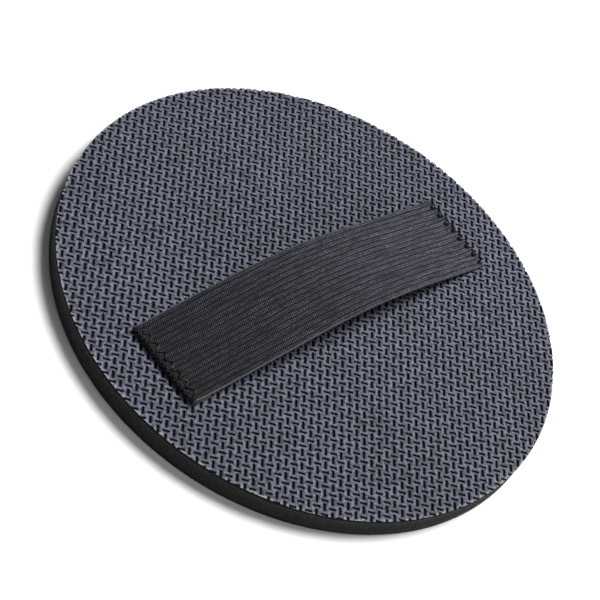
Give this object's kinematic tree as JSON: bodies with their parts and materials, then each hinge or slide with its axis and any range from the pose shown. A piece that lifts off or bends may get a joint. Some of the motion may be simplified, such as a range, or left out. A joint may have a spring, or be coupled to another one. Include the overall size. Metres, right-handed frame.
{
  "type": "practice pad",
  "caption": "Thin round rubber practice pad with an embossed woven-look face and a bowed elastic hand strap sewn across it.",
  "frame": {"origin": "centre of the flat playing face, which is the middle of the bottom of the box", "axes": "+Z from the playing face towards the strap side; +X along the strap, from its folded end to its flat end; +Y across the strap"},
  "size_m": [0.2, 0.2, 0.0215],
  "materials": {
    "textured_rubber": "embossed, satin",
    "sponge_rubber": "fine open grain, matt",
    "playing_rubber": "smooth, matt",
    "elastic": "woven, ribbed lengthwise",
    "thread": "twisted",
    "glue": "dried film"
  },
  "bodies": {
    "pad": {"playing_sheet": "playing_rubber", "lower_glue_film": "glue", "foam_core": "sponge_rubber", "upper_glue_film": "glue", "textured_sheet": "textured_rubber", "near_needle_thread": "thread", "far_needle_thread": "thread", "near_bobbin_thread": "thread", "far_bobbin_thread": "thread"},
    "strap": {"elastic_strap": "elastic"}
  },
  "joints": [
    {"name": "strap_lift", "type": "slide", "parent": "pad", "child": "strap", "axis": [0, 0, 1], "range_m": [-0.0075, 0.022], "stiffness_N_per_m": 300, "deforming": ["elastic_strap"]}
  ]
}
